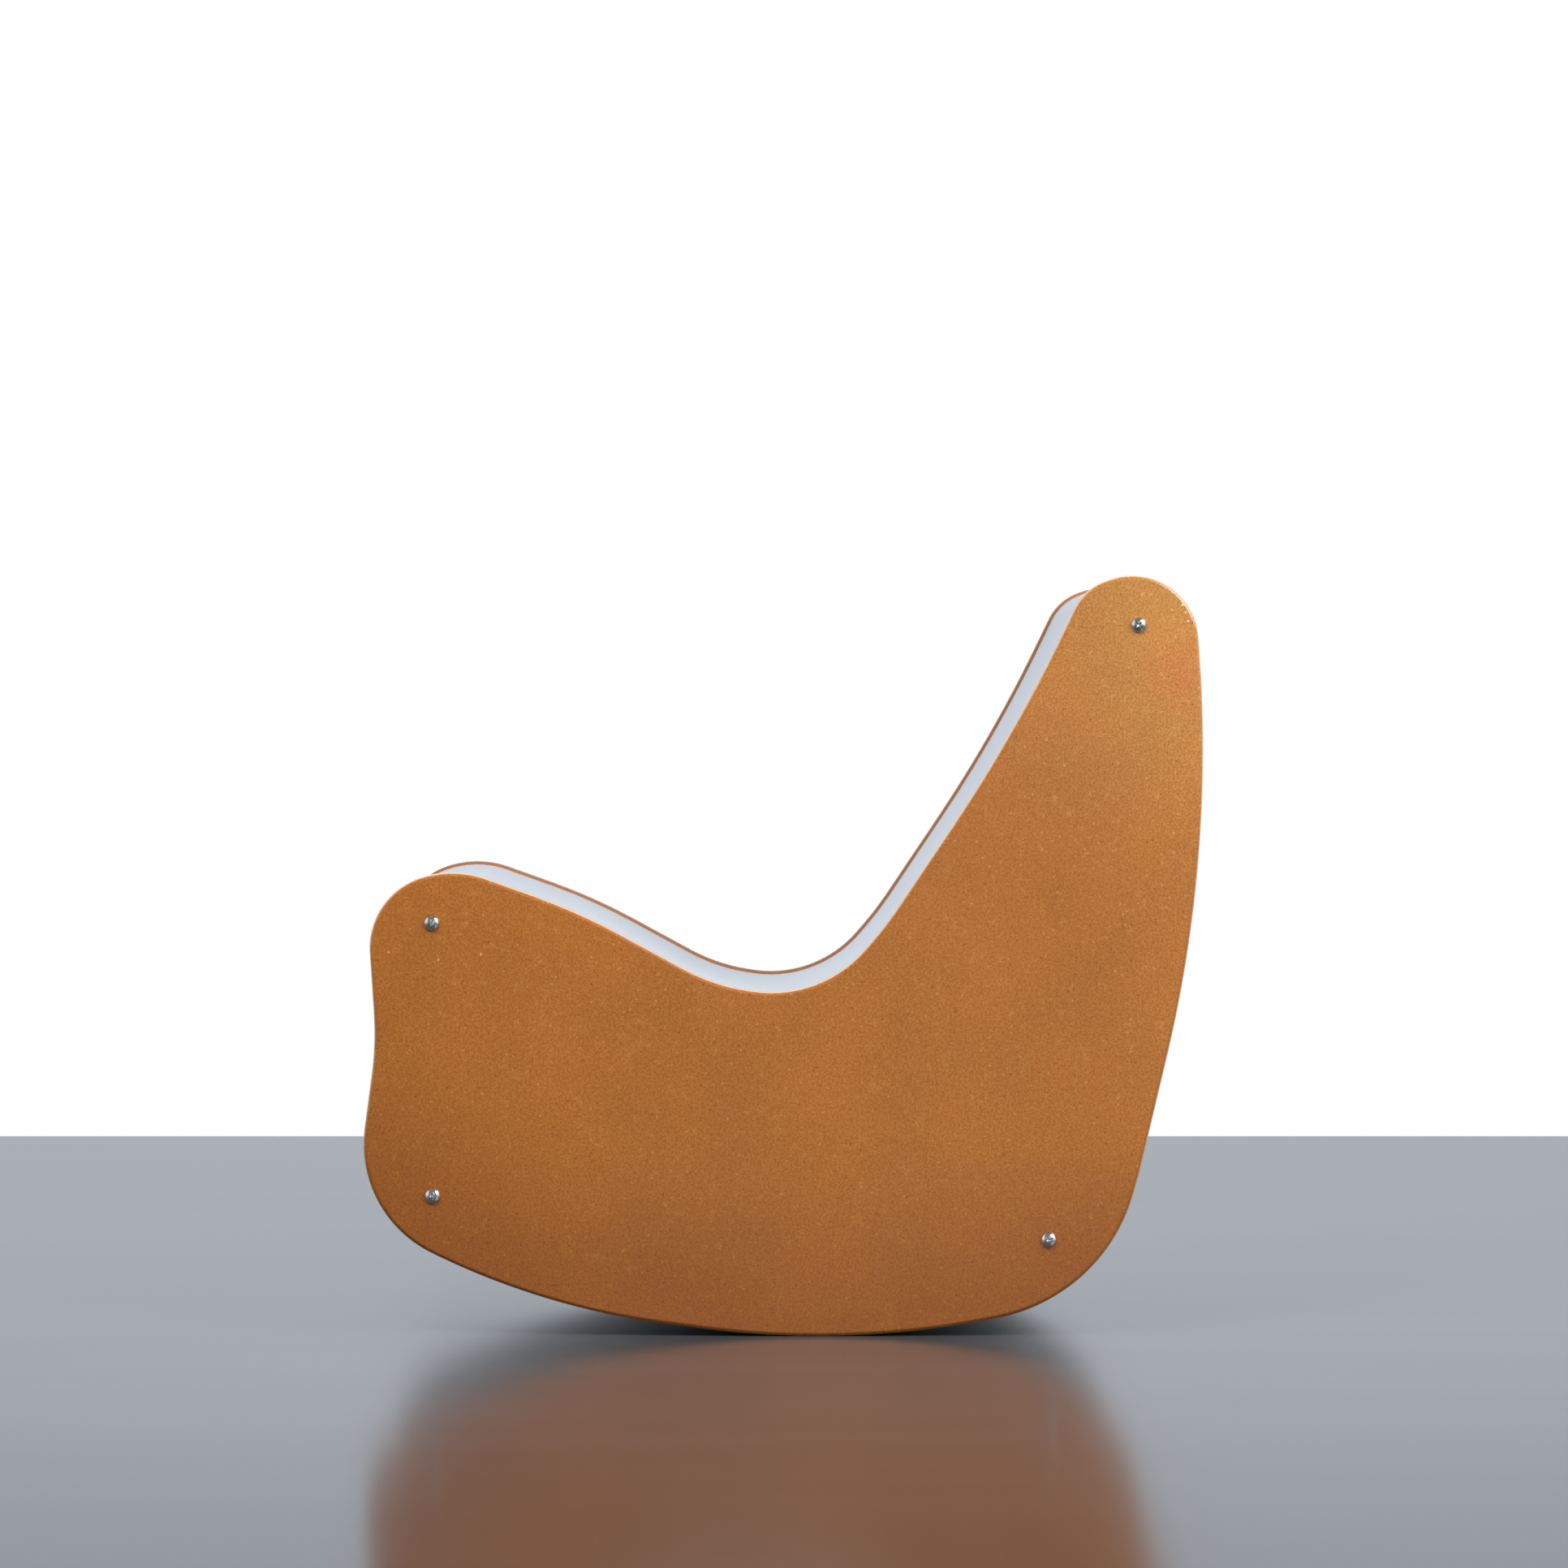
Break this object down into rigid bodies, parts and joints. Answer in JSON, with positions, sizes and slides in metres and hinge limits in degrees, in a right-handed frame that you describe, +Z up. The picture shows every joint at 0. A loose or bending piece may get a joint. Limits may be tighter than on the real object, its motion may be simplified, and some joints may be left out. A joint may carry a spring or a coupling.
{
  "type": "rocking chair",
  "caption": "Low rocking chair: two flat lacquered fibreboard side panels that roll on their curved edge, with a white skin bent between them and domed bolts.",
  "frame": {"origin": "on the floor, at the middle of the chair's length and width", "axes": "+X to the chair's back, +Y to the sitter's right, +Z up; the sitter faces -X"},
  "size_m": [0.8839, 0.5508, 0.8005],
  "materials": {
    "side_panel": "clear gloss lacquer on medium-density fibreboard",
    "bearer": "raw medium-density fibreboard",
    "rail": "planed hardwood",
    "plywood": "bent plywood",
    "laminate": "white laminate with a soft sheen",
    "bolt": "bright plated steel",
    "insert": "plain brass",
    "screw": "zinc plated steel"
  },
  "bodies": {
    "root": {"left_side_panel": "side_panel", "right_side_panel": "side_panel", "left_front_bearer": "bearer", "left_seat_bearer": "bearer", "left_back_bearer": "bearer", "left_rocker_bearer": "bearer", "right_front_bearer": "bearer", "right_seat_bearer": "bearer", "right_back_bearer": "bearer", "right_rocker_bearer": "bearer", "toe_rail": "rail", "knuckle_rail": "rail", "head_rail": "rail", "heel_rail": "rail", "seat_shell": "plywood", "back_shell": "plywood", "rocker_shell": "plywood", "seat_laminate": "laminate", "back_laminate": "laminate", "rocker_laminate": "laminate", "left_toe_bolt": "bolt", "left_knuckle_bolt": "bolt", "left_head_bolt": "bolt", "left_heel_bolt": "bolt", "right_toe_bolt": "bolt", "right_knuckle_bolt": "bolt", "right_head_bolt": "bolt", "right_heel_bolt": "bolt", "left_toe_insert": "insert", "left_knuckle_insert": "insert", "left_head_insert": "insert", "left_heel_insert": "insert", "right_toe_insert": "insert", "right_knuckle_insert": "insert", "right_head_insert": "insert", "right_heel_insert": "insert", "left_bearer_screws": "screw", "right_bearer_screws": "screw"}
  },
  "joints": []
}
